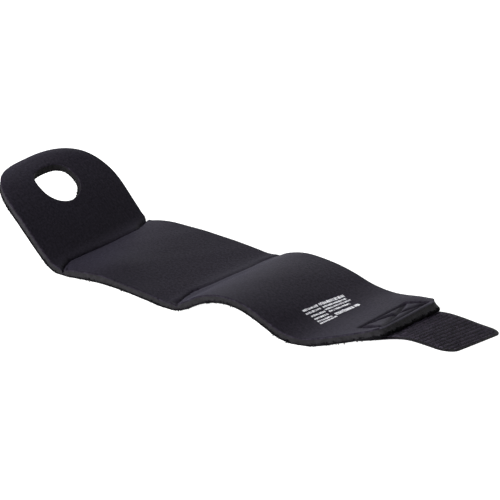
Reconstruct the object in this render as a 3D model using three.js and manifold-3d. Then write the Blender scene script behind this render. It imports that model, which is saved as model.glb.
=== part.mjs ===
// A wrist wrap of thin foam rubber, opened out and lying in the waves that its folds leave in it.
// One end stands up as a rounded panel with a thumb hole, the other narrows to a sewn-on hook tab.
// Millimetres, +Z up. +X runs along the wrap to the tab, +Y to its far edge, and Z 0 is the surface.
import * as THREE from "three";
import Module from "manifold-3d";

const wasm = await Module();
wasm.setup();

// The wrap laid flat
const wrapLength = 263;
const wrapWidth = 76;
const panelTipStraight = 8.4;
const taperLength = 64;
const endWidth = 54;
const endOffset = 2;
const endCornerRadius = 5.2;

// The thumb hole, laid flat
const holeFromEnd = 25.8;
const holeLength = 24;
const holeWidth = 26.8;
const holeSides = 28;

// The plies, from the skin side down
const liningThickness = 0.6;
const coreThickness = 2.2;
const pileThickness = 0.8;
const plyGap = 0.3;

// The hook tab, laid flat
const tabReach = 35.5;
const tabRoot = 15.6;
const tabWidth = 48.4;
const tabOffset = 3;
const tabCornerRadius = 8;
const hookHeight = 0.75;
const tapeThickness = 0.6;
const hookMargin = 1;
const tabGap = 0.25;

// How it lies: the weight of the wrap presses its pile flat by this much where it touches.
const restPress = 0.4;
// The far edge lies this much further along than the near edge at the foot of the panel.
const farEdgeLead = 4.8;
const panelFootShare = 0.272;

// The folds along both long edges of the wrap. Places are shares of the wrap's length from the
// panel's end, and slopes are degrees up from the surface.
const wrapFolds = [
  { nearAt: 0, farAt: 0, nearSlope: 8, farSlope: 3 },
  { nearAt: 0.066, farAt: 0.062, nearSlope: -21, farSlope: -33 },
  { nearAt: 0.136, farAt: 0.132, nearSlope: -48.5, farSlope: -46.5 },
  { nearAt: 0.19, farAt: 0.186, nearSlope: -48.5, farSlope: -50 },
  { nearAt: 0.237, farAt: 0.232, nearSlope: -44.5, farSlope: -50.5 },
  { nearAt: 0.284, farAt: 0.279, nearSlope: 7.5, farSlope: 15.5 },
  { nearAt: 0.339, farAt: 0.348, nearSlope: 6.5, farSlope: 1.5 },
  { nearAt: 0.428, farAt: 0.449, nearSlope: -3, farSlope: -3 },
  { nearAt: 0.532, farAt: 0.567, nearSlope: -7, farSlope: -6 },
  { nearAt: 0.575, farAt: 0.622, nearSlope: 23, farSlope: 26 },
  { nearAt: 0.604, farAt: 0.639, nearSlope: 35.5, farSlope: 17.5 },
  { nearAt: 0.671, farAt: 0.695, nearSlope: 11.5, farSlope: -1.5 },
  { nearAt: 0.738, farAt: 0.75, nearSlope: -18, farSlope: -11.5 },
  { nearAt: 0.799, farAt: 0.806, nearSlope: -35.5, farSlope: -14 },
  { nearAt: 0.873, farAt: 0.876, nearSlope: 14, farSlope: 4.5 },
  { nearAt: 0.905, farAt: 0.906, nearSlope: 21.5, farSlope: 9 },
  { nearAt: 1, farAt: 1, nearSlope: 25, farSlope: 7.5 },
];
// The folds of the tab past the wrap's end. Places are shares of the tab's reach.
const tabFolds = [
  { nearAt: 0.24, farAt: 0.24, nearSlope: 20, farSlope: -5.5 },
  { nearAt: 0.49, farAt: 0.49, nearSlope: 1, farSlope: -7.5 },
  { nearAt: 1, farAt: 1, nearSlope: -8, farSlope: 1.5 },
];

// How finely the bent faces are divided
const turnPerRow = 9;
const longestRow = 11;
const shortestRow = 1.8;
const stepsAcross = 5;
const stepsPerCorner = 6;

// Worked out from the sizes above
const fullLength = wrapLength + tabReach;
const panelCornerRadius = (wrapWidth - panelTipStraight) / 2;
const wrapThickness = liningThickness + coreThickness + pileThickness + 2 * plyGap;
const nearEdge = foldsOf("near");
const farEdge = foldsOf("far");
const nearFoot = pointAlong(nearEdge, panelFootShare * wrapLength);
const farFoot = pointAlong(farEdge, panelFootShare * wrapLength);

// The places in millimetres and the slopes of one long edge, tab included.
function foldsOf(side) {
  const onWrap = wrapFolds.map((fold) => ({
    at: fold[side + "At"] * wrapLength,
    slope: fold[side + "Slope"],
  }));
  const onTab = tabFolds.map((fold) => ({
    at: wrapLength + fold[side + "At"] * tabReach,
    slope: fold[side + "Slope"],
  }));
  return [...onWrap, ...onTab];
}

// The point and slope of an edge at a distance along it. Between two folds the slope changes
// evenly, so each stretch is a circular arc that keeps its real length.
function pointAlong(edge, at) {
  const point = { x: 0, z: 0, slope: edge[0].slope };
  for (let i = 1; i < edge.length && at > edge[i - 1].at; i++) {
    const from = edge[i - 1];
    const to = edge[i];
    const reach = Math.min(at, to.at) - from.at;
    point.slope = THREE.MathUtils.mapLinear(from.at + reach, from.at, to.at, from.slope, to.slope);
    const halfTurn = THREE.MathUtils.degToRad(point.slope - from.slope) / 2;
    const chord = halfTurn === 0 ? reach : (reach * Math.sin(halfTurn)) / halfTurn;
    const heading = THREE.MathUtils.degToRad(from.slope) + halfTurn;
    point.x += chord * Math.cos(heading);
    point.z += chord * Math.sin(heading);
  }
  return point;
}

// Where a point of the flat wrap lies once it is bent: along and across it, and at a height off
// the middle of its thickness.
function bent(along, across, height) {
  const near = pointAlong(nearEdge, along);
  const far = pointAlong(farEdge, along);
  const share = across / wrapWidth + 0.5;
  const x = THREE.MathUtils.lerp(near.x - nearFoot.x, far.x - farFoot.x + farEdgeLead, share);
  const z = THREE.MathUtils.lerp(near.z - nearFoot.z, far.z - farFoot.z, share);
  const slope = THREE.MathUtils.degToRad(THREE.MathUtils.lerp(near.slope, far.slope, share));
  return new THREE.Vector3(
    x - Math.sin(slope) * height,
    across,
    z + Math.cos(slope) * height + wrapThickness / 2 - restPress,
  );
}

// How far a rounded corner draws an edge in, at a distance from the end that it rounds.
function cornerInset(fromEnd, radius) {
  const short = Math.max(radius - fromEnd, 0);
  return radius - Math.sqrt(Math.max(radius ** 2 - short ** 2, 0));
}

// Half the flat wrap's width, and the middle of it, at a distance along it.
function wrapOutline(along) {
  const taper = THREE.MathUtils.smoothstep(along, wrapLength - taperLength, wrapLength);
  const halfWidth = THREE.MathUtils.lerp(wrapWidth, endWidth, taper) / 2;
  const panelCorner = cornerInset(along, panelCornerRadius);
  const endCorner = cornerInset(wrapLength - along, endCornerRadius);
  return { half: halfWidth - panelCorner - endCorner, middle: endOffset * taper };
}

// The same for the tab's tape, and for the hooks, which stop a margin short of its edges.
function tabOutline(along, margin) {
  const corner = cornerInset(fullLength - margin - along, tabCornerRadius - margin);
  return { half: tabWidth / 2 - margin - corner, middle: tabOffset };
}

// The rows of a ply between two places: close together in the folds and round the corners.
function rowsBetween(start, end, startRadius, endRadius) {
  const corners = new Set();
  for (let k = 0; k < stepsPerCorner; k++) {
    const sagitta = 1 - Math.cos((Math.PI / 2) * (k / stepsPerCorner));
    corners.add(start + startRadius * sagitta);
    corners.add(end - endRadius * sagitta);
  }
  const rows = [...corners];
  for (const at of [...foldRows(nearEdge, longestRow), ...foldRows(farEdge, Infinity)]) {
    const isClear = rows.every((other) => Math.abs(other - at) >= shortestRow);
    if (at > start && at < end && isClear) rows.push(at);
  }
  return rows.sort((a, b) => a - b);
}

// Rows that follow one edge: its turns in even steps, and no stretch left longer than a limit.
function foldRows(edge, limit) {
  const rows = [];
  for (let i = 1; i < edge.length; i++) {
    const stretch = edge[i].at - edge[i - 1].at;
    const turns = Math.abs(edge[i].slope - edge[i - 1].slope) / turnPerRow;
    const steps = Math.ceil(Math.max(turns, stretch / limit));
    for (let k = 0; k < steps; k++) rows.push(edge[i - 1].at + (stretch * k) / steps);
  }
  return rows;
}

// A closed ply of the bent wrap between two heights. What would reach under the surface that the
// wrap lies on is pressed flat against it.
function plySolid(rows, outline, lowHeight, highHeight) {
  const positions = [];
  for (const height of [lowHeight, highHeight]) {
    for (const along of rows) {
      const { half, middle } = outline(along);
      for (let j = 0; j <= stepsAcross; j++) {
        const across = middle + half * ((2 * j) / stepsAcross - 1);
        const point = bent(along, across, height);
        positions.push(point.x, point.y, Math.max(point.z, 0));
      }
    }
  }
  const last = rows.length - 1;
  const low = (i, j) => i * (stepsAcross + 1) + j;
  const high = (i, j) => low(i, j) + rows.length * (stepsAcross + 1);
  const faces = [];
  const quad = (a, b, c, d) => faces.push(a, b, c, a, c, d);
  for (let i = 0; i < last; i++) {
    for (let j = 0; j < stepsAcross; j++) {
      quad(high(i, j), high(i + 1, j), high(i + 1, j + 1), high(i, j + 1));
      quad(low(i, j), low(i, j + 1), low(i + 1, j + 1), low(i + 1, j));
    }
    quad(low(i, 0), low(i + 1, 0), high(i + 1, 0), high(i, 0));
    quad(low(i + 1, stepsAcross), low(i, stepsAcross), high(i, stepsAcross), high(i + 1, stepsAcross));
  }
  for (let j = 0; j < stepsAcross; j++) {
    quad(low(0, j + 1), low(0, j), high(0, j), high(0, j + 1));
    quad(low(last, j), low(last, j + 1), high(last, j + 1), high(last, j));
  }
  return solidOf(positions, faces);
}

// The space of the thumb hole: a bent tube with an oval section, closed at both ends.
function holeSolid() {
  const positions = [];
  const reach = 2 * wrapThickness;
  for (const height of [-reach, reach]) {
    for (let k = 0; k < holeSides; k++) {
      const angle = (2 * Math.PI * k) / holeSides;
      const along = holeFromEnd + (holeLength / 2) * Math.cos(angle);
      positions.push(...bent(along, (holeWidth / 2) * Math.sin(angle), height));
    }
    positions.push(...bent(holeFromEnd, 0, height));
  }
  const faces = [];
  const ringSize = holeSides + 1;
  for (let k = 0; k < holeSides; k++) {
    const next = (k + 1) % holeSides;
    faces.push(k, next, next + ringSize, k, next + ringSize, k + ringSize);
    faces.push(next, k, holeSides, k + ringSize, next + ringSize, holeSides + ringSize);
  }
  return solidOf(positions, faces);
}

function solidOf(positions, faces) {
  const vertProperties = new Float32Array(positions);
  return new wasm.Manifold(
    new wasm.Mesh({ numProp: 3, vertProperties, triVerts: new Uint32Array(faces) }),
  );
}

function meshOf(name, solid, color, roughness) {
  const { vertProperties, triVerts } = solid.getMesh();
  const geometry = new THREE.BufferGeometry();
  geometry.setAttribute("position", new THREE.BufferAttribute(vertProperties, 3));
  geometry.setIndex(new THREE.BufferAttribute(triVerts, 1));
  geometry.computeVertexNormals();
  const material = new THREE.MeshStandardMaterial({ color, roughness, metalness: 0 });
  const mesh = new THREE.Mesh(geometry, material);
  mesh.name = name;
  return mesh;
}

const wrapRows = rowsBetween(0, wrapLength, panelCornerRadius, endCornerRadius);
const hole = holeSolid();

// One ply of the wrap, with the thumb hole cut through it.
function wrapPly(lowHeight, thickness) {
  return plySolid(wrapRows, wrapOutline, lowHeight, lowHeight + thickness).subtract(hole);
}

function liningJersey() {
  const ply = wrapPly(wrapThickness / 2 - liningThickness, liningThickness);
  return meshOf("lining_jersey", ply, 0x3a3840, 0.95);
}

function foamCore() {
  const ply = wrapPly(-wrapThickness / 2 + pileThickness + plyGap, coreThickness);
  return meshOf("foam_core", ply, 0x2e2f2e, 0.9);
}

function loopPile() {
  return meshOf("loop_pile", wrapPly(-wrapThickness / 2, pileThickness), 0x151416, 1);
}

// The tape's root lies under the wrap's end, with its hooks up against the pile.
const hookTop = -wrapThickness / 2 - tabGap;
const tapeTop = hookTop - hookHeight - tabGap;

function hookField() {
  const end = fullLength - hookMargin;
  const rows = rowsBetween(wrapLength - tabRoot + hookMargin, end, 0, tabCornerRadius - hookMargin);
  const outline = (along) => tabOutline(along, hookMargin);
  return meshOf("hook_field", plySolid(rows, outline, hookTop - hookHeight, hookTop), 0x2d2b30, 0.7);
}

function hookTab() {
  const rows = rowsBetween(wrapLength - tabRoot, fullLength, 0, tabCornerRadius);
  const outline = (along) => tabOutline(along, 0);
  return meshOf("hook_tab", plySolid(rows, outline, tapeTop - tapeThickness, tapeTop), 0x201f23, 0.8);
}

// Moves the wrap so that the middle of its length and width is over the origin.
function centred(group) {
  const middle = new THREE.Box3().setFromObject(group).getCenter(new THREE.Vector3());
  group.position.set(-middle.x, -middle.y, 0);
  return group;
}

const wrap = new THREE.Group();
wrap.add(liningJersey(), foamCore(), loopPile(), hookField(), hookTab());

export default centred(wrap);
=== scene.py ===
# %% [markdown]
# A wrist wrap of thin foam rubber, opened out and laid down. A knit lining faces up, a brushed loop
# pile faces down, and a hook tab is sewn under the narrow end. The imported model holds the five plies
# as plain solids. Each ply is made again here with its real surface, in the same place, so that the
# solids serve the checks and the new pieces give the looks.

import bpy
import numpy as np
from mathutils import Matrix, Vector


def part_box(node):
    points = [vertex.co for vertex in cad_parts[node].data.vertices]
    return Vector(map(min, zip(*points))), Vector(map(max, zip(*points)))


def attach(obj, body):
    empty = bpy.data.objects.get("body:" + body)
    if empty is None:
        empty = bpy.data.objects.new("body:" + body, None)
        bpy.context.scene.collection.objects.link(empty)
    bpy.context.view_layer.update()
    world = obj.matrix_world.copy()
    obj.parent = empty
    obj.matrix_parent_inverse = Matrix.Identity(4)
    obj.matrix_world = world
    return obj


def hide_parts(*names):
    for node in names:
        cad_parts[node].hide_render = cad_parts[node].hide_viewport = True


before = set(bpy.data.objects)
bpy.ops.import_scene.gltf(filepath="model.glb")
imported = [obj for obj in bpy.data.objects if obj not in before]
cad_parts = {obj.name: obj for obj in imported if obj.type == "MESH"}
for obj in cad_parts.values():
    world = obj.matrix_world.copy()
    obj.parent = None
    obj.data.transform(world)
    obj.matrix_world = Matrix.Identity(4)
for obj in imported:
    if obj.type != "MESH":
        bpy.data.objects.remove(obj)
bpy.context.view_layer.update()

mm = 0.001

# %% [markdown]
# The wrap is a flat cut that lies in waves. It is easiest to model it flat, where an outline is an
# outline and a stitch is straight, and to bend every piece the same way at the end. The sizes of the
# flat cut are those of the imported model, in millimetres. Only the swell of the far edge and the
# squarer tip side of the hole are added here, since cloth gives a little where it is cut and folded.

# %% The flat cut
wrap_length = 263
wrap_width = 76
panel_tip_straight = 8.4
panel_corner_radius = (wrap_width - panel_tip_straight) / 2
taper_length = 64
end_width = 54
end_offset = 2
end_corner_radius = 5.2
hole_from_end = 25.8
hole_length = 24
hole_width = 26.8
hole_tip_power = 2.7
far_swell_width = 1.3
tab_reach = 35.5
tab_root = 15.6
tab_width = 48.4
tab_offset = 3
tab_corner_radius = 8
full_length = wrap_length + tab_reach
print("Laid flat, the wrap is", full_length, "mm long and", wrap_width, "mm wide")

# %% The heights of the plies, from the middle of the laminate
wrap_thickness = 4.2
lining_thickness = 0.6
pile_thickness = 0.8
glue_line = 0.03
lining_top = wrap_thickness / 2
lining_low = lining_top - lining_thickness
foam_top = lining_low - glue_line
pile_low = -wrap_thickness / 2
pile_top = pile_low + pile_thickness
foam_low = pile_top + glue_line
hook_clearance = 0.25
hook_height = 1.0
hook_top = pile_low - hook_clearance
tape_top = hook_top - hook_height
tape_thickness = 0.6
tape_low = tape_top - tape_thickness
print("Foam between its faces:", round(foam_top - foam_low, 2), "mm")

# %% [markdown]
# Both long edges are measured as a row of folds: a place, and the slope that the wrap has there.
# Between two folds the slope changes evenly, so each stretch is an arc that keeps its real length.
# The two edges differ a little, which gives the wrap its twist.

# %% The folds of both long edges
# Columns: place on the near edge, place on the far edge, near slope, far slope. Places are shares of
# the wrap's length, and slopes are degrees up from the surface.
wrap_folds = np.array([
    [0, 0, 8, 3],
    [0.066, 0.062, -21, -33],
    [0.136, 0.132, -48.5, -46.5],
    [0.19, 0.186, -48.5, -50],
    [0.237, 0.232, -44.5, -50.5],
    [0.284, 0.279, 7.5, 15.5],
    [0.339, 0.348, 6.5, 1.5],
    [0.428, 0.449, -3, -3],
    [0.532, 0.567, -7, -6],
    [0.575, 0.622, 23, 26],
    [0.604, 0.639, 35.5, 17.5],
    [0.671, 0.695, 11.5, -1.5],
    [0.738, 0.75, -18, -11.5],
    [0.799, 0.806, -35.5, -14],
    [0.873, 0.876, 14, 4.5],
    [0.905, 0.906, 21.5, 9],
    [1, 1, 25, 7.5],
])
# The same for the tab, with places as shares of its reach past the wrap's end.
tab_folds = np.array([
    [0.24, 0.24, 20, -5.5],
    [0.49, 0.49, 1, -7.5],
    [1, 1, -8, 1.5],
])
panel_foot = 0.272 * wrap_length
far_edge_lead = 4.8
rest_press = 0.4

# %% Walk along the folds
station_step = 0.05
overrun = 6
stations = np.arange(-overrun, full_length + overrun, station_step)


def edge_line(side):
    """x, z and slope of one long edge at every station. Side 0 is the near edge and 1 the far one."""
    places = np.append(wrap_folds[:, side] * wrap_length, wrap_length + tab_folds[:, side] * tab_reach)
    slopes = np.append(wrap_folds[:, side + 2], tab_folds[:, side + 2])
    slope = np.radians(np.interp(stations, places, slopes))
    heading = (slope[1:] + slope[:-1]) / 2
    x = np.append(0, np.cumsum(np.cos(heading))) * station_step
    z = np.append(0, np.cumsum(np.sin(heading))) * station_step
    return x - np.interp(panel_foot, stations, x), z - np.interp(panel_foot, stations, z), slope


near_line = edge_line(0)
far_line = edge_line(1)
print("Stations along each edge:", len(stations))


# %% Bend flat points
def bent(flat, shift=0):
    """Where points of the flat wrap lie once it is bent. Each has an along, an across and a height."""
    along, across, height = np.asarray(flat, float).T
    share = across / wrap_width + 0.5
    near_x, near_z, near_slope = (np.interp(along, stations, line) for line in near_line)
    far_x, far_z, far_slope = (np.interp(along, stations, line) for line in far_line)
    x = near_x * (1 - share) + (far_x + far_edge_lead) * share
    z = near_z * (1 - share) + far_z * share
    slope = near_slope * (1 - share) + far_slope * share
    lifted = z + np.cos(slope) * height + wrap_thickness / 2 - rest_press
    return np.column_stack([x - np.sin(slope) * height + shift, across, np.maximum(lifted, 0)])


# %% [markdown]
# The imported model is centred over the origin. The tab's tip is the far end of the box, so the place
# where the bent tip falls, set against the box, says how far everything is shifted.

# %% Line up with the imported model
tip_near, tip_far = tab_offset - tab_width / 2, tab_offset + tab_width / 2
tip_across = np.linspace(tip_near + tab_corner_radius, tip_far, 40)
tip_low = np.full_like(tip_across, tape_low)
tip = bent(np.column_stack([np.full_like(tip_across, full_length), tip_across, tip_low]))
tip_on_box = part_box("hook_tab")[1].x / mm
flat_tip = tip[tip_across < tip_far - tab_corner_radius]
centre_shift = tip_on_box - flat_tip[:, 0].max()
print("Everything is shifted by", round(centre_shift, 2), "mm along X")


# %% [markdown]
# The outline of the cut: a round panel at one end, straight sides, a taper to the narrow end with
# small round corners. One function gives half its width at each place, and another says how far a
# point lies inside the edge, which the rounded rims and the ragged pile need.

# %% The outline
def smooth(low, high, value):
    share = np.clip((value - low) / (high - low), 0, 1)
    return share * share * (3 - 2 * share)


def corner_inset(from_end, radius):
    short = np.maximum(radius - from_end, 0)
    return radius - np.sqrt(np.maximum(radius ** 2 - short ** 2, 0))


def far_swell(along):
    """The far edge stands a little wider beside the panel's foot, from 22 to 75 mm along."""
    return far_swell_width * smooth(22, 40, along) * smooth(-75, -64, -along)


def side_half(along):
    taper = smooth(wrap_length - taper_length, wrap_length, along)
    return wrap_width / 2 + (end_width - wrap_width) / 2 * taper + far_swell(along) / 2


def wrap_half(along):
    ends = corner_inset(along, panel_corner_radius) + corner_inset(wrap_length - along, end_corner_radius)
    return side_half(along) - ends


def wrap_middle(along):
    return end_offset * smooth(wrap_length - taper_length, wrap_length, along) + far_swell(along) / 2


def tab_half(along):
    return tab_width / 2 - corner_inset(full_length - along, tab_corner_radius)


def tab_middle(along):
    return tab_offset + 0 * along


half_widths = [round(float(wrap_half(np.array(a))), 1) for a in (5, 130, 260)]
print("Half widths at 5, 130 and 260 mm:", half_widths)


# %% How far inside the edge a point lies
def inside_round_end(from_end, off_middle, half, radius):
    """Distance to the edge of a strip with rounded corners at its end."""
    return radius - np.hypot(np.maximum(radius - from_end, 0), np.maximum(off_middle - half + radius, 0))


def inside_wrap(along, across):
    off_middle = np.abs(across - wrap_middle(along))
    panel = inside_round_end(along, off_middle, side_half(along), panel_corner_radius)
    end = inside_round_end(wrap_length - along, off_middle, side_half(along), end_corner_radius)
    return np.minimum(panel, np.minimum(end, side_half(along) - off_middle))


def hole_power(off_middle):
    """2 makes an oval. The half of the hole that faces the tip is squarer, which a higher power makes."""
    return np.where(off_middle < 0, hole_tip_power, 2)


def hole_rim(turn):
    """Along and across of the hole's rim at an angle."""
    share = 2 / hole_power(np.cos(turn))
    along = np.sign(np.cos(turn)) * np.abs(np.cos(turn)) ** share
    across = np.sign(np.sin(turn)) * np.abs(np.sin(turn)) ** share
    return hole_from_end + hole_length / 2 * along, hole_width / 2 * across


def outside_hole(along, across):
    power = hole_power(along - hole_from_end)
    along_share = np.abs((along - hole_from_end) / (hole_length / 2))
    across_share = np.abs(across / (hole_width / 2))
    ratio = (along_share ** power + across_share ** power) ** (1 / power)
    return (ratio - 1) * (hole_length + hole_width) / 4


def inside_tab(along, across):
    off_middle = np.abs(across - tab_offset)
    return np.minimum(
        along - wrap_length + tab_root,
        inside_round_end(full_length - along, off_middle, tab_width / 2, tab_corner_radius),
    )


hole_to_tip = float(inside_wrap(hole_from_end - hole_length / 2, 0))
print("The hole's rim is", round(hole_to_tip, 1), "mm from the end")


# %% [markdown]
# A sheet that shows fine dents needs many small faces where the dents are, and few elsewhere. Rows
# follow the round ends in even steps of arc, and lie close together where the sewn box and the
# creases are. Columns are close together at the edges, where the rim is rounded.

# %% Places of rows and columns
def places_between(start, stop, step_at):
    places = [start]
    while places[-1] < stop:
        places.append(places[-1] + step_at(places[-1]))
    return np.interp(places, (places[0], places[-1]), (start, stop))


def arc_share(from_end, radius):
    """How much of a step along the rim of a round corner goes along the strip."""
    return np.sqrt(1 - (1 - min(from_end / radius, 1)) ** 2)


fine_stretches = ((66.5, 77), (143.5, 161.5), (245, 263))
shortest_step = 0.06


def row_step(coarse, fine):
    """Steps between rows: fine at the creases and the sewn end, and short where the ends are round."""
    def step_at(along):
        is_fine = any(low < along < high for low, high in fine_stretches)
        step = fine if is_fine else coarse
        share = arc_share(along, panel_corner_radius)
        share = min(share, arc_share(max(wrap_length - along, 0), end_corner_radius))
        return max(step * share, shortest_step)
    return step_at


rim_insets = np.array([0, 0.15, 0.4, 0.8, 1.4])
rim_band = 2.2


def columns_of(half, step):
    inner = np.linspace(0, half - rim_band, max(int((half - rim_band) / step), 2))
    right = np.append(inner, half - rim_insets[::-1])
    return np.append(-right[:0:-1], right)


wrap_rows = places_between(0, wrap_length, row_step(coarse=1.1, fine=0.36))
wrap_columns = columns_of(wrap_width / 2, step=0.95)
print("Wrap grid:", len(wrap_rows), "rows by", len(wrap_columns), "columns")


# %% [markdown]
# The thumb hole is not cut by a boolean, which would leave slivers round its rim. A square block of
# faces is taken out of the grid instead, and the rings of faces round it are eased from the square to
# the oval. The rim is then one clean loop that can be rounded and lined with fibres.

# %% Ease the grid round the hole
ring_ease = 1.25


def square_turn(across_share, along_share):
    """The angle on the oval of a point on a square, in even steps along the square's sides."""
    on_along_side = np.abs(along_share) >= np.abs(across_share)
    quarter = np.pi / 4
    along_side = quarter * across_share * np.sign(along_share) + np.where(along_share < 0, np.pi, 0)
    across_side = np.sign(across_share) * np.pi / 2 - quarter * along_share * np.sign(across_share)
    return np.where(on_along_side, along_side, across_side)


def eased_round_hole(rows, columns, block, eased):
    """Along and across of every grid point, before the outline narrows it."""
    i, j = np.meshgrid(np.arange(len(rows)), np.arange(len(columns)), indexing="ij")
    along, across = rows[i], columns[j]
    centre = np.argmin(np.abs(rows - hole_from_end)), len(columns) // 2
    u, v = (i - centre[0]) / eased, (j - centre[1]) / eased
    ring = np.maximum(np.abs(u), np.abs(v))
    inner = block / eased
    in_block = (ring <= 1) & (ring >= inner - 1e-6)
    du, dv = u / np.maximum(ring, 1e-9), v / np.maximum(ring, 1e-9)
    turn = square_turn(dv, du)
    rim_along, rim_across = hole_rim(turn)
    rim_across = rim_across * (wrap_width / 2) / wrap_half(rim_along)
    outer_along = np.interp(centre[0] + eased * du, np.arange(len(rows)), rows)
    outer_across = np.interp(centre[1] + eased * dv, np.arange(len(columns)), columns)
    share = np.clip((ring - inner) / (1 - inner), 0, 1) ** ring_ease
    along = np.where(in_block, rim_along + (outer_along - rim_along) * share, along)
    across = np.where(in_block, rim_across + (outer_across - rim_across) * share, across)
    return along, across, centre


# %% Start and end an edit, and read the points of a piece
def select_none():
    if bpy.context.object and bpy.context.object.mode != "OBJECT":
        bpy.ops.object.mode_set(mode="OBJECT")
    bpy.ops.object.select_all(action="DESELECT")


def edit_all():
    bpy.ops.object.mode_set(mode="EDIT")
    bpy.ops.mesh.select_all(action="SELECT")


def turn_outwards():
    """Turns every face outwards and leaves edit mode."""
    bpy.ops.mesh.select_all(action="SELECT")
    bpy.ops.mesh.normals_make_consistent(inside=False)
    bpy.ops.object.mode_set(mode="OBJECT")


def points_of(piece):
    flat = np.empty(len(piece.data.vertices) * 3)
    piece.data.vertices.foreach_get("co", flat)
    return flat.reshape(-1, 3)


# %% Lay out a grid and open its hole
def flat_grid(name, rows, columns):
    """A grid whose rows and columns are 1 mm apart, so that a point's place is also its number."""
    select_none()
    size = (len(rows) - 1) * mm, (len(columns) - 1) * mm
    bpy.ops.mesh.primitive_grid_add(
        x_subdivisions=len(rows) - 1, y_subdivisions=len(columns) - 1, size=1,
        location=(size[0] / 2, size[1] / 2, 0))
    sheet = bpy.context.object
    sheet.scale = (*size, 1)
    bpy.ops.object.transform_apply(location=True, scale=True)
    sheet.name = sheet.data.name = name
    return sheet


def open_hole(sheet, centre, block):
    """Takes out the square block of faces where the hole will be."""
    bpy.ops.object.mode_set(mode="EDIT")
    bpy.ops.mesh.select_mode(type="FACE")
    bpy.ops.mesh.select_all(action="DESELECT")
    bpy.ops.object.mode_set(mode="OBJECT")
    for face in sheet.data.polygons:
        off = np.abs(np.array(face.center[:2]) / mm - centre)
        face.select = bool(off.max() < block)
    bpy.ops.object.mode_set(mode="EDIT")
    bpy.ops.mesh.delete(type="FACE")


# %% Make a closed sheet from a grid
def closed_sheet(name, rows, columns, low, high, layers, outline, hole=None):
    """A closed flat sheet, and the along, across and height of its points. A hole is given as the
    half sizes, in faces, of the block that is taken out and of the block that is eased round it."""
    sheet = flat_grid(name, rows, columns)
    along, across = np.meshgrid(rows, columns, indexing="ij")
    if hole:
        along, across, centre = eased_round_hole(rows, columns, *hole)
        open_hole(sheet, centre, hole[0])
    edit_all()
    for _ in range(layers):
        bpy.ops.mesh.extrude_region_move(TRANSFORM_OT_translate={"value": (0, 0, mm)})
    turn_outwards()
    i, j, layer = np.rint(points_of(sheet) / mm).astype(int).T
    half, middle = outline
    widest = columns[-1]
    placed = along[i, j]
    spread = middle(placed) + across[i, j] / widest * half(placed)
    return sheet, np.column_stack([placed, spread, low + (high - low) * layer / layers])


# %% [markdown]
# The thread draws the upper plies back at the sewn end, most at its far corner, and the pile spreads
# there. The wall of the hole leans too on the tip side, as a die leaves it in soft foam. So each point
# moves along the wrap by an amount that depends on its height, before anything is bent. The tab lies
# lower and doesn't lean.

# %% Lean the sewn end and the wall of the hole
end_spread = 0.9
end_draw = 0.4
lean_ends_below = 0.4
far_corner_draw = 1.3
far_corner_from, far_corner_to = -20, 26
end_reach = 7
wall_lean = 1.1
wall_reach = 2.5


def leaned(flat):
    """The sewn end and the hole's wall on the tip side lean, the pile further along than the lining."""
    along, across, height = flat.T
    levels = pile_low - lean_ends_below, pile_low, lining_top
    end_lean = np.interp(height, levels, (0, end_spread, -end_draw))
    far_corner = smooth(far_corner_from, far_corner_to, across) * smooth(pile_low, lining_top, height)
    end_lean = end_lean - far_corner_draw * far_corner
    end_lean = end_lean * smooth(wrap_length - end_reach, wrap_length, along)
    near_rim = np.exp(-((outside_hole(along, across) / wall_reach) ** 2))
    on_tip_side = smooth(1, hole_length / 2, hole_from_end - along)
    hole_lean = np.interp(height, (pile_low, lining_top), (wall_lean, 0)) * near_rim * on_tip_side
    return np.column_stack([along + end_lean + hole_lean, across, height])


# %% Finish a flat piece: keep its flat map, bend it, smooth it
def triangles(piece):
    return sum(len(face.vertices) - 2 for face in piece.data.polygons)


def lay(piece, flat, angle=50):
    """Bends a piece whose points are given flat. Its UV map "flat" holds along and across in mm."""
    corners = np.empty(len(piece.data.loops), int)
    piece.data.loops.foreach_get("vertex_index", corners)
    flat_map = piece.data.uv_layers.get("flat") or piece.data.uv_layers.new(name="flat")
    flat_map.data.foreach_set("uv", flat[corners, :2].astype(np.float32).ravel())
    for other in [layer.name for layer in piece.data.uv_layers if layer.name != "flat"]:
        piece.data.uv_layers.remove(piece.data.uv_layers[other])
    piece.data.vertices.foreach_set("co", (bent(leaned(flat), centre_shift) * mm).ravel())
    piece.data.update()
    select_none()
    piece.select_set(True)
    bpy.context.view_layer.objects.active = piece
    bpy.ops.object.shade_smooth_by_angle(angle=np.radians(angle))
    print(piece.name, len(piece.data.vertices), "points,", triangles(piece), "triangles")
    return piece


# %% [markdown]
# The lining sinks where the wrap is folded sharply, because the foam on the inside of a fold is
# squeezed and the knit buckles into a line. Each crease is a line across the wrap. Its flanks rise
# over their own distance before and after the line, and at its bottom is a fine sharp crevice.

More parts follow.
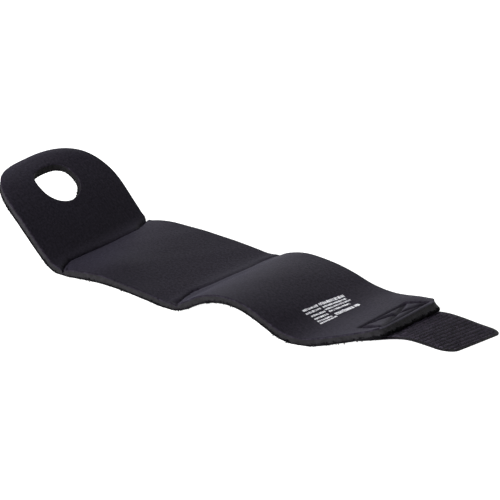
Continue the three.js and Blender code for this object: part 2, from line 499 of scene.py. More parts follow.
# %% Creases
# Each has its line (across, along), its depth, how far its flanks reach before and after the line, and
# how much deeper its crevice is. All are in mm.
creases = (
    {"across": (-38, -34, -28, -13, 4, 24, 31, 38), "along": (74, 71.4, 69.2, 70.2, 71.7, 73.3, 70.5, 67.5),
     "depth": 1.3, "before": 3, "after": 2.4, "crevice": 1.7},
    {"across": (27, 31, 38), "along": (72, 70.2, 67.5),
     "depth": 2.0, "before": 3, "after": 3, "crevice": 1.5},
    {"across": (-38, -35, -31, -29), "along": (77.5, 75, 71, 69.5),
     "depth": 0.5, "before": 2, "after": 2, "crevice": 0.3},
    {"across": (-38, -29, -22, -10, 6, 16, 26, 32, 38),
     "along": (148.9, 147, 146.5, 150.7, 153.9, 155.6, 156, 157.4, 160),
     "depth": 0.55, "before": 3, "after": 4.5, "crevice": 0.2},
    {"across": (-38, -29, -22, -17), "along": (148.9, 147, 146.5, 148.2),
     "depth": 0.9, "before": 2, "after": 3, "crevice": 0.8},
    {"across": (-25, -21, -14), "along": (144.6, 147.6, 148.2),
     "depth": 0.25, "before": 1.5, "after": 1.5, "crevice": 0.2},
)
crease_sharpness = 1.4
crevice_width = 1.05
fade_outside, fade_inside = 1, 2


def crease_depth(along, across):
    depth = 0 * along
    for crease in creases:
        ends = crease["across"][0], crease["across"][-1]
        off = along - np.interp(across, crease["across"], crease["along"])
        reach = np.where(off < 0, crease["before"], crease["after"])
        fade = 1
        if ends[0] > -wrap_width / 2:
            fade = fade * smooth(ends[0] - fade_outside, ends[0] + fade_inside, across)
        if ends[1] < wrap_width / 2:
            fade = fade * smooth(-ends[1] - fade_outside, -ends[1] + fade_inside, -across)
        flank = np.clip(1 - np.abs(off) / reach, 0, 1) ** crease_sharpness
        crevice = crease["crevice"] * np.clip(1 - np.abs(off) / crevice_width, 0, 1)
        depth = np.maximum(depth, (crease["depth"] * flank + crevice) * fade)
    return depth


# %% [markdown]
# The tab is sewn on through all the plies, with a box of stitches that is crossed from corner to
# corner. The thread pulls the foam down in grooves and the foam puffs up between them, as in
# quilting. The grooves are worked out from the distance to the nearest line of stitches. Past the box
# the rim rises a little, because the thread doesn't hold it down.

# %% The sewn box
box_corners = ((247.2, -17.4), (261.9, -19.2), (260.4, 22.6), (248.8, 19.4))
box_from, box_to = 248.7, 261.9
box_near, box_far = -18.2, 20.2
box_fade = 2
box_lines = [(box_corners[k], box_corners[(k + 1) % 4]) for k in range(4)]
box_lines += [(box_corners[0], box_corners[2]), (box_corners[1], box_corners[3])]
groove_depth = 1.35
groove_width = 0.75
groove_sharpness = 1.6
puff = 0.5
puff_from, puff_full = 0.5, 3
end_rise = 0.5
end_rise_from, end_rise_to = 255, 262.6


def off_line(along, across, line):
    """Distance to a line of stitches."""
    start, stop = np.array(line[0], float), np.array(line[1], float)
    run = stop - start
    share = ((along - start[0]) * run[0] + (across - start[1]) * run[1]) / (run @ run)
    share = np.clip(share, 0, 1)
    return np.hypot(along - start[0] - share * run[0], across - start[1] - share * run[1])


def sewn_relief(along, across):
    nearest = np.min([off_line(along, across, line) for line in box_lines], 0)
    in_box = 1
    for place, low, high in ((along, box_from, box_to), (across, box_near, box_far)):
        in_box = in_box * smooth(low - box_fade, low, place) * smooth(-high - box_fade, -high, -place)
    grooves = groove_depth * np.exp(-((nearest / groove_width) ** groove_sharpness))
    rise = end_rise * smooth(end_rise_from, end_rise_to, along)
    return puff * in_box * smooth(puff_from, puff_full, nearest) - grooves + rise


# %% [markdown]
# No cloth lies quite even. A few long shallow waves, less than the thickness of a fingernail, break
# up the light on the lining as the real one does. The foam also swells softly beside the fold, near the
# sewn end and inside the rim of the panel's tip, where the face rolls down to the edge. One swelling
# is a hollow, where the second fold pinches the near edge.

# %% Soft waves and the whole relief
# Columns: length of the wave along and across in mm, height in mm, phase.
soft_waves = ((47, 90, 0.08, 0.4), (31, -60, 0.05, 2.1), (23, 41, 0.03, 4.0), (-17, 25, 0.02, 1.2))


def soft_relief(along, across):
    waves = [h * np.sin(2 * np.pi * (along / a + across / c) + phase) for a, c, h, phase in soft_waves]
    return np.sum(waves, 0)


# Columns: along and across of a swelling's middle, its half length and half width, and its height.
swellings = ((98, -24, 12, 16, 1.5), (238, 14, 9, 12, 0.35), (232, -14, 9, 10, 0.3),
             (147.4, -35.4, 1.8, 2.2, -0.9), (251, 27, 10, 7, 1.1))
tip_roll = 0.75
tip_roll_width = 8
tip_roll_full, tip_roll_ends = 12, 30


def swelling_relief(along, across):
    raised = 0 * along
    for middle, side, half_length, half_width, height in swellings:
        off = ((along - middle) / half_length) ** 2 + ((across - side) / half_width) ** 2
        raised = raised + height * np.exp(-off)
    from_rim = np.clip(1 - np.maximum(inside_wrap(along, across), 0) / tip_roll_width, 0, 1)
    return raised + tip_roll * (1 - from_rim ** 2) * smooth(-tip_roll_ends, -tip_roll_full, -along)


def rim_drop(inside, radius):
    """How far a rounded rim falls below the face, at a distance inside the edge."""
    return corner_inset(np.maximum(inside, 0), radius)


def relief(along, across):
    raised = soft_relief(along, across) + swelling_relief(along, across) + sewn_relief(along, across)
    return raised - crease_depth(along, across)


print("Deepest crease:", max(c["depth"] for c in creases), "mm; deepest groove:", groove_depth, "mm")

# %% [markdown]
# The lining is a thin knit jersey glued to the foam. The cut squeezes its rim down a little, so both
# its edges and the hole's rim are rounded over, which is what makes the fine light line there.

# %% The lining
rim_radius = 0.5
lining_rim_share = 0.45


def inside_cut(flat):
    """How far inside the cut points lie, from the outline or from the hole."""
    return np.minimum(inside_wrap(*flat.T[:2]), outside_hole(*flat.T[:2]))


lining, flat = closed_sheet("lining", wrap_rows, wrap_columns, lining_low, lining_top, 1,
                            (wrap_half, wrap_middle), hole=(12, 20))
flat[:, 2] += relief(*flat.T[:2]) - rim_drop(inside_cut(flat), rim_radius) * lining_rim_share
lay(lining, flat)

# %% [markdown]
# The foam is cut through with a die, so its edge is a plain band. Its upper face follows the lining's
# relief and its lower face stays even, and the layers between them share the difference.

# %% The foam
foam_rim_share = 0.5
foam_columns = columns_of(wrap_width / 2, step=1.9)
foam_rows = places_between(0, wrap_length, row_step(coarse=1.3, fine=0.8))
foam, flat = closed_sheet("foam", foam_rows, foam_columns, foam_low, foam_top, 5,
                          (wrap_half, wrap_middle), hole=(9, 13))
up = (flat[:, 2] - foam_low) / (foam_top - foam_low)
flat[:, 2] += (relief(*flat.T[:2]) - rim_drop(inside_cut(flat), rim_radius) * foam_rim_share) * up
lay(foam, flat)

# %% [markdown]
# Underneath is a knit whose loops are brushed up for the hooks to grip. As a sheet it is only the
# ground of the pile, with a lumpy surface. The loops and the ragged edge come later as pieces of
# their own.

# %% The pile's ground
rng = np.random.default_rng(7)
pile_rim_radius = 0.6
pile_rim_share = 0.3
pile_spread = 0.35
spread_band = 1.2
pile_hang = 0.15
lump_height = 0.07
pile_columns = columns_of(wrap_width / 2, step=1.15)
pile_rows = places_between(0, wrap_length, row_step(coarse=1.15, fine=0.9))
pile, flat = closed_sheet("pile", pile_rows, pile_columns, pile_low, pile_top, 1,
                          (wrap_half, wrap_middle), hole=(10, 17))
is_low = flat[:, 2] < (pile_low + pile_top) / 2
lumps = np.abs(rng.normal(0, lump_height, len(flat)))
raised = rim_drop(inside_cut(flat), pile_rim_radius) * pile_rim_share + lumps - pile_hang
flat[:, 2] += np.where(is_low, raised, 0)
off_middle = flat[:, 1] - wrap_middle(flat[:, 0])
flat[:, 1] += np.sign(off_middle) * pile_spread * smooth(-spread_band, 0, -inside_wrap(*flat.T[:2]))
lay(pile, flat, angle=60)

# %% [markdown]
# The tab is woven nylon tape. Its edges are sealed by heat, which rounds them a little. It is a flat
# strap, and so it is made directly as a closed sheet.

# %% The tape
tape_rim_radius = 0.3
tape_rim_share = 0.6
tab_columns = columns_of(tab_width / 2, step=1.2)
tab_row_step = 0.9


def tab_step(along):
    return max(tab_row_step * arc_share(max(full_length - along, 0), tab_corner_radius), shortest_step)


tab_rows = places_between(wrap_length - tab_root, full_length, tab_step)
tape, flat = closed_sheet("tape", tab_rows, tab_columns, tape_low, tape_top, 2, (tab_half, tab_middle))
is_top = np.isclose(flat[:, 2], tape_top)
is_low = np.isclose(flat[:, 2], tape_low)
drop = rim_drop(inside_tab(*flat.T[:2]), tape_rim_radius) * tape_rim_share
flat[:, 2] += np.where(is_low, drop, np.where(is_top, -drop, 0))
lay(tape, flat)


# %% [markdown]
# Loops, fibres, hooks and stitches are small shapes repeated hundreds of times. Each is modelled once
# with few faces, and its copies are joined into one mesh. A copy has a point on the flat wrap, three
# axes and a size, and it is bent with the rest.

# %% Copy a small shape many times
def joined_copies(name, shape, points, axes, sizes):
    """axes has a 3 by 3 matrix for each copy, whose columns are where the shape's X, Y and Z go."""
    corners = points_of(shape) / mm
    sizes = np.broadcast_to(np.asarray(sizes, float).reshape(len(points), -1), (len(points), 3))
    placed = np.einsum("kij,knj->kni", axes, corners[None] * sizes[:, None]) + points[:, None]
    faces = [tuple(face.vertices) for face in shape.data.polygons]
    count = len(corners)
    all_faces = [[v + count * k for v in face] for k in range(len(points)) for face in faces]
    flat = placed.reshape(-1, 3)
    mesh = bpy.data.meshes.new(name)
    mesh.from_pydata(flat.tolist(), [], all_faces)
    piece = bpy.data.objects.new(name, mesh)
    bpy.context.collection.objects.link(piece)
    bpy.data.objects.remove(shape)
    return lay(piece, flat)


def axes_from(pointing, side):
    """Axes whose Z points one way and whose X leans to a side."""
    z = pointing / np.linalg.norm(pointing, axis=1)[:, None]
    x = side - (side * z).sum(1)[:, None] * z
    x = x / np.linalg.norm(x, axis=1)[:, None]
    return np.stack([x, np.cross(z, x), z], 2)


# %% Model a fibre: a thin stalk drawn out of a small ring
def stalk(radius, sides, steps):
    """Each step gives how far the ring is drawn sideways and up in mm, and how much it shrinks."""
    select_none()
    bpy.ops.mesh.primitive_circle_add(vertices=sides, radius=radius * mm, fill_type="NGON")
    made = bpy.context.object
    edit_all()
    reach, rise = 0, 0
    for sideways, up, shrink in steps:
        bpy.ops.mesh.extrude_region_move(TRANSFORM_OT_translate={"value": (sideways * mm, 0, up * mm)})
        reach, rise = reach + sideways, rise + up
        bpy.ops.transform.resize(value=(shrink, shrink, shrink), center_override=(reach * mm, 0, rise * mm))
    turn_outwards()
    return made


# %% [markdown]
# The pile stands out past the cut edge as small tufts, which is why the lower edge looks ragged where
# the rim above it is clean. The tufts are set along the outline and round the hole, and point out
# and down, each a little differently. They are a little longer at the sewn end, and longer and
# shorter ones come in clumps, as brushed fibres do.

# %% Points along the rims
tuft_spacing = 0.2
hole_tuft_size = 0.6
end_tuft_growth = 0.3


def rim_points(step):
    """Points of the outline and of the hole's rim, the way out of the ply there, and sizes of tufts."""
    fine = np.linspace(0, wrap_length, 20000)
    near = np.column_stack([fine, wrap_middle(fine) - wrap_half(fine)])
    far = np.column_stack([fine, wrap_middle(fine) + wrap_half(fine)])[::-1]
    turn = np.linspace(0, 2 * np.pi, 2000)
    hole = np.column_stack(hole_rim(-turn))
    points, outward, sizes = [], [], []
    for loop, size in ((np.vstack([near, far, near[:1]]), 1), (hole, hole_tuft_size)):
        run = np.append(0, np.cumsum(np.hypot(*np.diff(loop, axis=0).T)))
        places = np.arange(0, run[-1], step)
        spot = np.column_stack([np.interp(places, run, loop[:, k]) for k in (0, 1)])
        ahead = np.column_stack([np.interp(places + 0.3, run, loop[:, k]) for k in (0, 1)])
        tangent = ahead - spot
        tangent = tangent / np.maximum(np.hypot(*tangent.T), 1e-9)[:, None]
        points.append(spot)
        outward.append(np.column_stack([tangent[:, 1], -tangent[:, 0]]))
        grown = 1 + end_tuft_growth * smooth(wrap_length - 28, wrap_length - 3, spot[:, 0])
        sizes.append(np.full(len(spot), size) * grown)
    return np.vstack(points), np.vstack(outward), np.concatenate(sizes)


rim_spots, outward, tuft_sizes = rim_points(tuft_spacing)
print("Tufts along the rims:", len(rim_spots))

# %% The ragged edge of the pile
tuft_band = pile_thickness + 0.7
tuft_above = 0.1
clump_step = 7
tuft_steps = ((0.05, 0.28, 0.9), (0.14, 0.24, 0.75), (0.2, 0.12, 0.35))
count = len(rim_spots)
depth = rng.uniform(0, 1, count)
height = pile_low + tuft_above + depth ** 1.3 * tuft_band
start = np.column_stack([rim_spots - outward * rng.uniform(0.15, 0.5, count)[:, None], height])
lean = rng.normal(0, 0.45, count).clip(-0.9, 0.9)
clumps = rng.normal(0, 1, count // clump_step + 2)
clump_here = np.interp(np.arange(count) / clump_step, np.arange(len(clumps)), clumps)
clumped = (0.95 + 0.4 * clump_here).clip(0.5, 1.6)
sideways = np.column_stack([-outward[:, 1], outward[:, 0]]) * lean[:, None]
hang = -0.3 - 1.2 * (1 - depth) * rng.uniform(0.2, 1, count)
pointing = np.column_stack([outward + sideways, hang])
fringe = joined_copies(
    "pile_edge_tufts", stalk(radius=0.2, sides=5, steps=tuft_steps), start,
    axes_from(pointing, rng.normal(0, 1, (count, 3))),
    tuft_sizes * clumped * rng.gamma(8, 1.05 / 8, count).clip(0.5, 1.25))

# %% [markdown]
# Over the whole of the underside the loops stand close together. One loop is an arch, spun from a
# small ring and just under half a millimetre high. The copies are scattered at random, with their
# feet in the ground of the pile.

# %% Model a loop: a thin arch
def arch(radius, thickness, sides, steps):
    select_none()
    bpy.ops.mesh.primitive_circle_add(
        vertices=sides, radius=thickness / 2 * mm, location=(-radius * mm, 0, 0))
    made = bpy.context.object
    bpy.ops.object.transform_apply(location=True)
    edit_all()
    bpy.ops.mesh.spin(steps=steps, angle=-np.pi, center=(0, 0, 0), axis=(0, 1, 0))
    turn_outwards()
    print("Loop height in mm:", round(float(points_of(made)[:, 2].max() / mm), 2))
    return made


# %% The loops of the pile
loop_spacing = 1.75
loop_inset = 0.4
loop_root = 0.12


def scattered(spacing):
    """Points on a jittered net over the pile, as along and across."""
    net = np.mgrid[0:full_length:spacing, -wrap_width / 2:wrap_width / 2:spacing].reshape(2, -1).T
    net = net + rng.uniform(-spacing / 2, spacing / 2, net.shape)
    return net[inside_cut(net) > loop_inset]


loop_net = scattered(loop_spacing)
count = len(loop_net)
start = np.column_stack([loop_net, np.full(count, pile_low + loop_root)])
pointing = np.column_stack([rng.normal(0, 0.4, (count, 2)), -np.ones(count)])
loops = joined_copies("pile_loops", arch(radius=0.36, thickness=0.17, sides=4, steps=4), start,
                      axes_from(pointing, rng.normal(0, 1, (count, 3))), rng.uniform(0.7, 1.5, count))

# %% [markdown]
# The hooks are nylon threads that are woven into the tape, cut and left as crooks. They stand in
# rows across the tape, a little over a millimetre apart. One is a ring drawn up into a stem and spun
# on into a bow beside its top. The bow dips first and its end turns up, where a real crook arches
# over and its end hangs, which a negative turn would give. At this size only the rows show.

# %% Model a hook: a stem with a crook
crook_turn = 205


def crook(stem, bow, thickness, sides, steps):
    select_none()
    bpy.ops.mesh.primitive_circle_add(vertices=sides, radius=thickness / 2 * mm, fill_type="NGON")
    made = bpy.context.object
    edit_all()
    bpy.ops.mesh.extrude_region_move(TRANSFORM_OT_translate={"value": (0, 0, stem * mm)})
    bpy.ops.mesh.spin(steps=steps, angle=np.radians(crook_turn), center=(bow * mm, 0, stem * mm),
                      axis=(0, 1, 0))
    bpy.ops.mesh.select_all(action="SELECT")
    bpy.ops.mesh.remove_doubles(threshold=0.001 * mm)
    turn_outwards()
    return made


# %% The field of hooks
hook_pitch_along = 1.3
hook_pitch_across = 1.05
hook_margin = 1.2
hook_root = 0.02
net = np.mgrid[wrap_length - tab_root:full_length:hook_pitch_along,
               -wrap_width / 2:wrap_width / 2:hook_pitch_across]
row_number = np.broadcast_to(np.arange(net.shape[1])[:, None], net.shape[1:]).ravel()
net = net.reshape(2, -1).T
kept = inside_tab(*net.T) > hook_margin
net, row_number = net[kept], row_number[kept]
count = len(net)
net = net + rng.normal(0, 0.07, net.shape)
start = np.column_stack([net, np.full(count, tape_top - hook_root)])
facing = np.where(row_number % 2 == 0, 1.0, -1.0)
side = np.column_stack([facing, rng.normal(0, 0.25, count), np.zeros(count)])
pointing = np.column_stack([rng.normal(0, 0.08, (count, 2)), np.ones(count)])
hook_shape = crook(stem=0.62, bow=0.22, thickness=0.25, sides=5, steps=5)
hooks = joined_copies("hooks", hook_shape, start, axes_from(pointing, side),
                      rng.uniform(0.94, 1.06, count))

# %% [markdown]
# Each stitch is a short length of twisted thread that dips into the cloth at both ends. It is a
# rounded capsule, bowed in the middle, laid end to end along the lines of the box. The same stitches
# show on the tape underneath.

# %% Model a stitch: a bowed capsule
stitch_bow = 0.45
stitch_fullness = 1.6


def stitch_shape(length, thickness):
    select_none()
    bpy.ops.mesh.primitive_uv_sphere_add(segments=8, ring_count=9, radius=thickness / 2 * mm,
                                         rotation=(0, np.pi / 2, 0))
    made = bpy.context.object
    bpy.ops.object.transform_apply(rotation=True)
    points = points_of(made)
    pull = (length - thickness) / 2 * mm
    points[:, 0] += pull * np.clip(points[:, 0] / (thickness / 2 * mm) * stitch_fullness, -1, 1)
    points[:, 2] -= stitch_bow * thickness * mm * (points[:, 0] / (length / 2 * mm)) ** 2
    made.data.vertices.foreach_set("co", points.ravel())
    return made


# %% The stitches
stitch_pitch = 2.7
stitch_lift = 0.08
stitch_sink = 0.02


def stitch_places(lines):
    points, runs = [], []
    for start, stop in lines:
        run = np.subtract(stop, start)
        number = max(int(round(np.hypot(*run) / stitch_pitch)), 1)
        for k in range(number):
            points.append(np.add(start, run * (k + 0.5) / number))
            runs.append(run / np.hypot(*run))
    return np.array(points), np.array(runs)


spots, runs = stitch_places(box_lines)
count = len(spots)
run_axis = np.column_stack([runs, np.zeros(count)])


def flat_axes(x_axis, up):
    z = np.broadcast_to((0.0, 0.0, up), x_axis.shape)
    return np.stack([x_axis, np.cross(z, x_axis), z], 2)


top_height = lining_top + relief(*spots.T) + stitch_lift
above = np.column_stack([spots, top_height])
stitches = joined_copies("stitches_top", stitch_shape(length=2.5, thickness=0.44), above,
                         flat_axes(run_axis, 1.0), np.ones(count))
under = np.column_stack([spots, np.full(count, tape_low - stitch_sink)])
stitches_under = joined_copies("stitches_under", stitch_shape(length=2.45, thickness=0.34), under,
                               flat_axes(run_axis, -1.0), np.ones(count))

# %% [markdown]
# The wrap carries a small block of white print near its narrow end. Here it is made of plain bars of
# different lengths in rows, which say nothing. Screen ink lies on the knit as a very thin film, so
# each bar is a thin slip with a few faces, laid on the lining's relief.

# %% The rows of printed bars
# Columns: along and across of the row's start, then of its end, height of its bars, the longest bar.
print_rows = np.array([
    (210.5, -14.6, 212.0, -3.9, 1.5, 1.5),
    (213.0, -14.8, 214.5, -4.2, 1.4, 1.2),
    (215.9, -13.8, 217.6, -4.4, 1.3, 1.3),
    (218.4, -14.4, 220.2, -5.0, 1.3, 1.2),
    (220.9, -15.0, 222.8, -5.8, 1.3, 1.4),
    (223.2, -15.8, 225.0, -4.6, 1.3, 1.3),
    (212.0, -2.6, 215.4, 14.6, 2.0, 1.7),
    (214.6, -2.6, 217.9, 13.4, 1.2, 1.4),
    (216.8, -3.4, 220.2, 14.2, 1.2, 1.6),
    (219.2, -3.2, 222.2, 10.4, 1.3, 1.4),
    (223.2, -3.2, 225.8, 8.4, 2.7, 3.4),
    (226.0, 9.2, 226.6, 12.2, 2.2, 1.5),
])
shortest_bar = 0.5
bar_gap = (0.15, 0.35)
bars = []
for along, across, last_along, last_across, tall, longest in print_rows:
    start = np.array([along, across])
    run = np.array([last_along, last_across]) - start
    reach = np.hypot(*run)
    done = 0
    while done < reach - 0.4:
        length = min(rng.uniform(shortest_bar, longest), reach - done)
        middle = start + run / reach * (done + length / 2)
        bars.append((*middle, tall * rng.uniform(0.75, 1.1), length, *(run / reach)))
        done += length + rng.uniform(*bar_gap)
bars = np.array(bars)
print("Printed bars:", len(bars))


# %% Model a bar and lay its copies
def bar_shape():
    select_none()
    bpy.ops.mesh.primitive_grid_add(x_subdivisions=2, y_subdivisions=3, size=1 * mm)
    made = bpy.context.object
    edit_all()
    bpy.ops.mesh.extrude_region_move(TRANSFORM_OT_translate={"value": (0, 0, mm)})
    turn_outwards()
    return made


ink_thickness = 0.04
ink_lift = 0.03
count = len(bars)
bar_height = lining_top + relief(bars[:, 0], bars[:, 1]) + ink_lift
bar_points = np.column_stack([bars[:, 0], bars[:, 1], bar_height])
bar_sizes = np.column_stack([bars[:, 2], bars[:, 3], np.full(count, ink_thickness)])
bar_side = np.column_stack([bars[:, 5], -bars[:, 4], np.zeros(count)])
marks = joined_copies("printed_bars", bar_shape(), bar_points, flat_axes(bar_side, 1.0), bar_sizes)


# %% [markdown]
# Materials. One function turns a hex colour to the linear values that shaders use, one adds a node
# with its settings and its links, and one starts a material with the values that are the same all
# over. The last one links what the nodes made and puts the material on its pieces.

# %% Colours and nodes
def colour(code):
    parts = [int(code[k:k + 2], 16) / 255 for k in (0, 2, 4)]
    return [c / 12.92 if c <= 0.04045 else ((c + 0.055) / 1.055) ** 2.4 for c in parts] + [1]


def add(tree, kind, inputs=None, stops=(), **settings):
    """Adds a node. An input is a value, or a socket of another node to link. Stops are the places
    and the colours of a ramp, in rising order."""
    made = tree.nodes.new("ShaderNode" + kind)
    for name, value in settings.items():
        setattr(made, name, value)
    for socket, value in (inputs or {}).items():
        if isinstance(value, bpy.types.NodeSocket):
            tree.links.new(value, made.inputs[socket])
        else:
            made.inputs[socket].default_value = value
    for k, (at, code) in enumerate(stops):
        stop = made.color_ramp.elements[k] if k < 2 else made.color_ramp.elements.new(at)
        stop.position = at
        stop.color = colour(code)
    return made


# %% Start and finish a material
def material(name, **values):
    """A new material and its tree. The values go straight on the shader's own sockets."""
    made = bpy.data.materials.new(name)
    made.use_nodes = True
    shader = made.node_tree.nodes["Principled BSDF"]
    for socket, value in values.items():
        shader.inputs[socket.replace("_", " ")].default_value = value
    return made, made.node_tree


def dress(pieces, made, tone, bump=None):
    """Links a colour and a bump to the shader and puts the material on pieces."""
    shader = made.node_tree.nodes["Principled BSDF"]
    made.node_tree.links.new(tone, shader.inputs["Base Color"])
    if bump is not None:
        made.node_tree.links.new(bump.outputs["Normal"], shader.inputs["Normal"])
    for piece in pieces:
        piece.data.materials.append(made)
    print(made.name, "on", [piece.name for piece in pieces])


# %% [markdown]
# Knit nylon jersey, dyed slate: matt, but its tiny filaments catch light at a shallow angle, which is
# the sheen. The wales of the knit run along the wrap about 0.45 mm apart. That is finer than the
# render shows, so they are drawn 0.9 mm apart. The tone is painted darker in some stretches along the
# wrap, which is painted shade of the folds, and a pale line on the cut rim at the sewn end is a painted
# highlight.

# %% Jersey
jersey, tree = material("knit_nylon_jersey", Roughness=0.75, IOR=1.5, Specular_IOR_Level=0.03,
                        Sheen_Weight=0.03, Sheen_Roughness=0.5, Sheen_Tint=colour("b4b0d8"))
flat_map = add(tree, "UVMap", uv_map="flat").outputs["UV"]
wale_pitch = 0.9
course_pitch = wale_pitch * 0.8
# A wave texture of scale 1 repeats after this length.
wave_period = 0.31416
wales = add(tree, "TexWave", {"Vector": flat_map, "Scale": wave_period / wale_pitch, "Distortion": 1.2,
                              "Detail": 1.0, "Detail Scale": 1.5}, bands_direction="Y")
courses = add(tree, "TexWave", {"Vector": flat_map, "Scale": wave_period / course_pitch,
                                "Distortion": 1.6, "Detail": 1.0, "Detail Scale": 1.5}, bands_direction="X")
knit = add(tree, "Math", {0: wales.outputs["Fac"], 1: courses.outputs["Fac"]}, operation="MULTIPLY")
lint = add(tree, "TexNoise", {"Vector": flat_map, "Scale": 0.7, "Detail": 3.0, "Roughness": 0.8})
cloudy = add(tree, "TexNoise", {"Vector": flat_map, "Scale": 0.035, "Detail": 2.0, "Roughness": 0.5})
grain = add(tree, "Math", {0: lint.outputs["Fac"], 1: 2.0, 2: -0.75}, operation="MULTIPLY_ADD")
mixed = add(tree, "Math", {0: knit.outputs[0], 1: 0.35, 2: grain.outputs[0]}, operation="MULTIPLY_ADD")
base = add(tree, "ValToRGB", {"Fac": mixed.outputs[0]}, stops=((0, "0f0d12"), (1, "2c2a32")))
tinted = add(tree, "Mix", {"Factor": cloudy.outputs["Fac"], "A": colour("e8dce1"), "B": colour("f8f7ff")},
             data_type="RGBA")
washed = add(tree, "Mix", {"Factor": 1.0, "A": base.outputs["Color"], "B": tinted.outputs["Result"]},
             data_type="RGBA", blend_type="MULTIPLY")

# %% Painted shade along the jersey
# Each pair is a place along the wrap in mm and the tone there. The darker tones are painted shade.
painted_shade_along = ((0, "ffffff"), (12, "ffffff"), (36, "e4e4e4"), (66, "dedede"), (77, "ffffff"),
               (92, "ffffff"), (112, "c9c9c9"), (140, "f4f4f4"), (205, "ffffff"), (wrap_length, "ffffff"))
# The last fraction of a millimetre at the sewn end turns pale: a painted highlight on the cut rim.
highlight_rim_from, highlight_rim_full = wrap_length - 0.65, wrap_length - 0.3
place_along = add(tree, "SeparateXYZ", {"Vector": flat_map}).outputs["X"]
share_along = add(tree, "Math", {0: place_along, 1: 1 / wrap_length}, operation="MULTIPLY")
painted_shade_ramp = add(tree, "ValToRGB", {"Fac": share_along.outputs[0]},
           stops=[(at / wrap_length, tone) for at, tone in painted_shade_along])
painted_shade_ramp.color_ramp.interpolation = "B_SPLINE"
painted_shade_mix = add(tree, "Mix", {"Factor": 1.0, "A": washed.outputs["Result"], "B": painted_shade_ramp.outputs["Color"]},
           data_type="RGBA", blend_type="MULTIPLY")
painted_highlight_rim = add(tree, "MapRange", {"Value": place_along, 1: highlight_rim_from, 2: highlight_rim_full})
highlit_jersey = add(tree, "Mix", {"Factor": painted_highlight_rim.outputs[0], "A": painted_shade_mix.outputs["Result"],
                           "B": colour("413f48")}, data_type="RGBA")
bump = add(tree, "Bump", {"Height": mixed.outputs[0], "Strength": 0.5, "Distance": 0.12 * mm})
dress([lining], jersey, highlit_jersey.outputs["Result"], bump)

# %% [markdown]
# The cut edge of closed-cell foam rubber: charcoal, dead matt, with cells a few tenths of a millimetre
# wide that the die has cut open. The wall of the hole is painted darker, which is painted shade, and the
# sewn end is painted paler, which is painted light. Round the panel the cut is a little paler than
# elsewhere.

# %% Foam rubber
foam_rubber, tree = material("foam_rubber_cut_edge", Roughness=0.85, IOR=1.5, Specular_IOR_Level=0.12)
place = add(tree, "TexCoord").outputs["Object"]
cell_size = 0.5 * mm
mottle_size = 2.5 * mm
cells = add(tree, "TexVoronoi", {"Vector": place, "Scale": 1 / cell_size, "Randomness": 1.0})
mottle = add(tree, "TexNoise", {"Vector": place, "Scale": 1 / mottle_size, "Detail": 4.0})
base = add(tree, "ValToRGB", {"Fac": mottle.outputs["Fac"]}, stops=((0.3, "0f0e10"), (0.7, "1a191c")))
flat_map = add(tree, "UVMap", uv_map="flat").outputs["UV"]
from_hole = add(tree, "VectorMath", {0: flat_map, 1: (hole_from_end, 0, 0)}, operation="DISTANCE")
# Rows: two distances from the hole's middle in mm, and the tone up to the first and past the second.
# The first row darkens the wall of the hole, which is painted shade. The last row makes the sewn end paler,
# which is painted light.
foam_painted_shade_and_light = ((15.0, 17.0, 0.33, 1.0), (42.0, 56.0, 1.35, 0.93), (235.5, 237.0, 1.0, 2.0))
tone = 1.0
for first, second, tone_before, tone_past in foam_painted_shade_and_light:
    step = add(tree, "MapRange", {"Value": from_hole.outputs["Value"], 1: first, 2: second,
                                  3: tone_before, 4: tone_past})
    tone = add(tree, "Math", {0: tone, 1: step.outputs[0]}, operation="MULTIPLY").outputs[0]
# The foam's colour times these tones: painted shade in the hole, painted light at the sewn end.
foam_with_painted_light = add(tree, "Mix", {"Factor": 1.0, "A": base.outputs["Color"], "B": tone},
           data_type="RGBA", blend_type="MULTIPLY")
rough = add(tree, "Math", {0: cells.outputs["Distance"], 1: 1.5, 2: mottle.outputs["Fac"]},
            operation="MULTIPLY_ADD")
bump = add(tree, "Bump", {"Height": rough.outputs[0], "Strength": 0.8, "Distance": 0.2 * mm})
dress([foam], foam_rubber, foam_with_painted_light.outputs["Result"], bump)

# %% [markdown]
# Brushed nylon loops: nearly black, because light is lost between the fibres, with hardly any sheen.

# %% Loop pile
loop_nylon, tree = material("brushed_nylon_loops", Roughness=0.9, IOR=1.5, Specular_IOR_Level=0.02,
                            Sheen_Weight=0.004, Sheen_Roughness=0.5)
place = add(tree, "TexCoord").outputs["Object"]
tangle_size = 0.7 * mm
patch_size = 9 * mm
tangle = add(tree, "TexNoise", {"Vector": place, "Scale": 1 / tangle_size, "Detail": 6.0, "Roughness": 0.7})
patches = add(tree, "TexNoise", {"Vector": place, "Scale": 1 / patch_size, "Detail": 2.0})
mixed = add(tree, "Math", {0: patches.outputs["Fac"], 1: 0.6, 2: tangle.outputs["Fac"]},
            operation="MULTIPLY_ADD")
base = add(tree, "ValToRGB", {"Fac": mixed.outputs[0]}, stops=((0.55, "050506"), (1, "0e0d10")))
bump = add(tree, "Bump", {"Height": tangle.outputs["Fac"], "Strength": 0.9, "Distance": 0.35 * mm})
dress([pile, fringe, loops], loop_nylon, base.outputs["Color"], bump)

# %% [markdown]
# Woven nylon tape: a flat plain weave, drawn with threads 0.8 mm apart where the real ones are about
# 0.4 mm, and a little smoother than the knit.

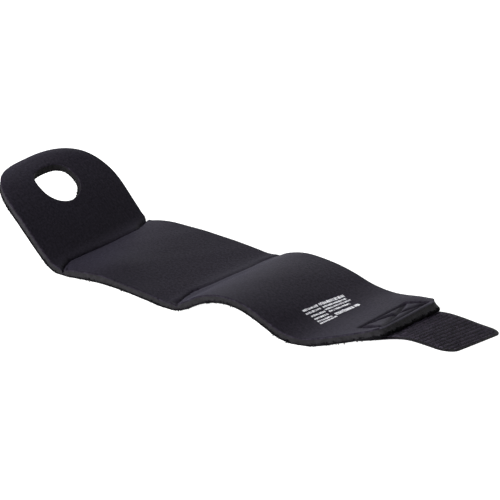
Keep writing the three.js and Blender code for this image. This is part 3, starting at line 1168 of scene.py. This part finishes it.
# %% Woven tape
woven_nylon, tree = material("woven_nylon_tape", Roughness=0.75, IOR=1.53, Specular_IOR_Level=0.04)
flat_map = add(tree, "UVMap", uv_map="flat").outputs["UV"]
thread_pitch = 0.8
warp, weft = [
    add(tree, "TexWave", {"Vector": flat_map, "Scale": wave_period / thread_pitch, "Distortion": 0.4},
        bands_direction=way) for way in ("Y", "X")]
weave = add(tree, "Math", {0: warp.outputs["Fac"], 1: weft.outputs["Fac"]}, operation="MULTIPLY")
base = add(tree, "ValToRGB", {"Fac": weave.outputs[0]}, stops=((0, "0e0c10"), (1, "1b181e")))
bump = add(tree, "Bump", {"Height": weave.outputs[0], "Strength": 0.7, "Distance": 0.15 * mm})
dress([tape], woven_nylon, base.outputs["Color"], bump)

# %% [markdown]
# Nylon monofilament: the hooks are dyed through and slightly glossy, so each crook has a small
# highlight.

# %% Hook nylon
hook_nylon, tree = material("nylon_monofilament_hooks", Roughness=0.6, IOR=1.53, Specular_IOR_Level=0.05)
place = add(tree, "TexCoord").outputs["Object"]
dye_size = 3 * mm
dye = add(tree, "TexNoise", {"Vector": place, "Scale": 1 / dye_size, "Detail": 3.0})
base = add(tree, "ValToRGB", {"Fac": dye.outputs["Fac"]}, stops=((0.3, "27242d"), (0.7, "423c49")))
dress([hooks], hook_nylon, base.outputs["Color"])

# %% [markdown]
# Sewing thread is twisted polyester. The twist shows as fine slanting bands.

# %% Thread
thread, tree = material("twisted_polyester_thread", Roughness=0.7, IOR=1.55, Specular_IOR_Level=0.1)
place = add(tree, "TexCoord").outputs["Object"]
twist_pitch = 0.5 * mm
twist = add(tree, "TexWave", {"Vector": place, "Scale": wave_period / twist_pitch, "Distortion": 0.5},
            bands_direction="DIAGONAL")
base = add(tree, "ValToRGB", {"Fac": twist.outputs["Fac"]}, stops=((0, "060507"), (1, "141217")))
bump = add(tree, "Bump", {"Height": twist.outputs["Fac"], "Strength": 0.5, "Distance": 0.08 * mm})
dress([stitches, stitches_under], thread, base.outputs["Color"], bump)

# %% [markdown]
# Screen ink on a knit is never solid: the fibres break it up, so its white has grey gaps.

# %% Print ink
ink, tree = material("white_screen_ink", Roughness=0.6, IOR=1.5)
place = add(tree, "TexCoord").outputs["Object"]
gap_size = 0.9 * mm
gaps = add(tree, "TexNoise", {"Vector": place, "Scale": 1 / gap_size, "Detail": 3.0, "Roughness": 0.7})
base = add(tree, "ValToRGB", {"Fac": gaps.outputs["Fac"]}, stops=((0.4, "4a4952"), (0.58, "dcdce2")))
dress([marks], ink, base.outputs["Color"])

# %% [markdown]
# Each piece rides on the one body of the imported model, and each of the five main pieces hides the
# solid that it stands for.

# %% Tie the pieces to the imported model
for piece, node, slot in (
    (lining, "lining_jersey", "jersey"), (foam, "foam_core", "foam"), (pile, "loop_pile", "pile"),
    (hooks, "hook_field", "hooks"), (tape, "hook_tab", "tape"),
):
    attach(piece, "root")
    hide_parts(node)
for piece, slot in ((fringe, "pile"), (loops, "pile")):
    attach(piece, "root")
for piece in (stitches, stitches_under, marks):
    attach(piece, "root")

# %% [markdown]
# The setting is plain: a pale floor that glows from within, like a light table, so that hardly any
# shadow shows on it. A low soft lamp at the front left brightens the faces that turn that way, and a
# wide one behind grazes the cloth.

# %% Floor and world
select_none()
bpy.ops.mesh.primitive_plane_add(size=16, location=(0, 0, -0.0002))
floor = bpy.context.object
floor.name = "floor"
pale, tree = material("pale_floor", Base_Color=colour("b4b4b4"), Roughness=0.9, Specular_IOR_Level=0.0,
                      Emission_Color=(1, 1, 1, 1), Emission_Strength=0.95)
floor.data.materials.append(pale)
world = bpy.data.worlds.new("studio")
bpy.context.scene.world = world
world.use_nodes = True
background = world.node_tree.nodes["Background"]
background.inputs["Color"].default_value = (1, 1, 1, 1)
background.inputs["Strength"].default_value = 0.2


# %% Lamps
def aimed(name, data, place, back):
    """Puts a lamp or a camera at a place, with its back turned to a direction."""
    made = bpy.data.objects.new(name, data)
    bpy.context.collection.objects.link(made)
    made.location = place
    made.rotation_mode = "QUATERNION"
    made.rotation_quaternion = Vector(back).to_track_quat("Z", "Y")
    return made


def soft_lamp(name, place, size, power):
    """A soft lamp that looks at the wrap's middle."""
    light = bpy.data.lights.new(name, "AREA")
    light.shape = "RECTANGLE"
    light.size, light.size_y = size
    light.energy = power
    aimed(name, light, place, place)


soft_lamp("front_left", (-0.26, -1.18, 0.324), (0.9, 0.9), 60)
soft_lamp("back", (-0.22, 1.19, 0.324), (1.8, 0.9), 28)

# %% [markdown]
# The camera stands where the photo was taken from: in front of the wrap and to its right, 26 degrees
# above the floor, with a long lens.

# %% Camera
azimuth, elevation = np.radians(32.62), np.radians(25.95)
distance = 724.04
look_at = np.array([69.45 + centre_shift, 43.04, -0.62])
level = np.array([np.sin(azimuth), -np.cos(azimuth), 0])
back = level * np.cos(elevation) + np.array([0, 0, np.sin(elevation)])
camera_data = bpy.data.cameras.new("photo_camera")
camera_data.sensor_width = 36
camera_data.lens = 93.4
camera_data.clip_start, camera_data.clip_end = 0.01, 20
camera = aimed("photo_camera", camera_data, (look_at + back * distance) * mm, back)
bpy.context.scene.camera = camera
bpy.context.scene.view_settings.view_transform = "Standard"
print("The camera is", round(distance), "mm from the point that it looks at")
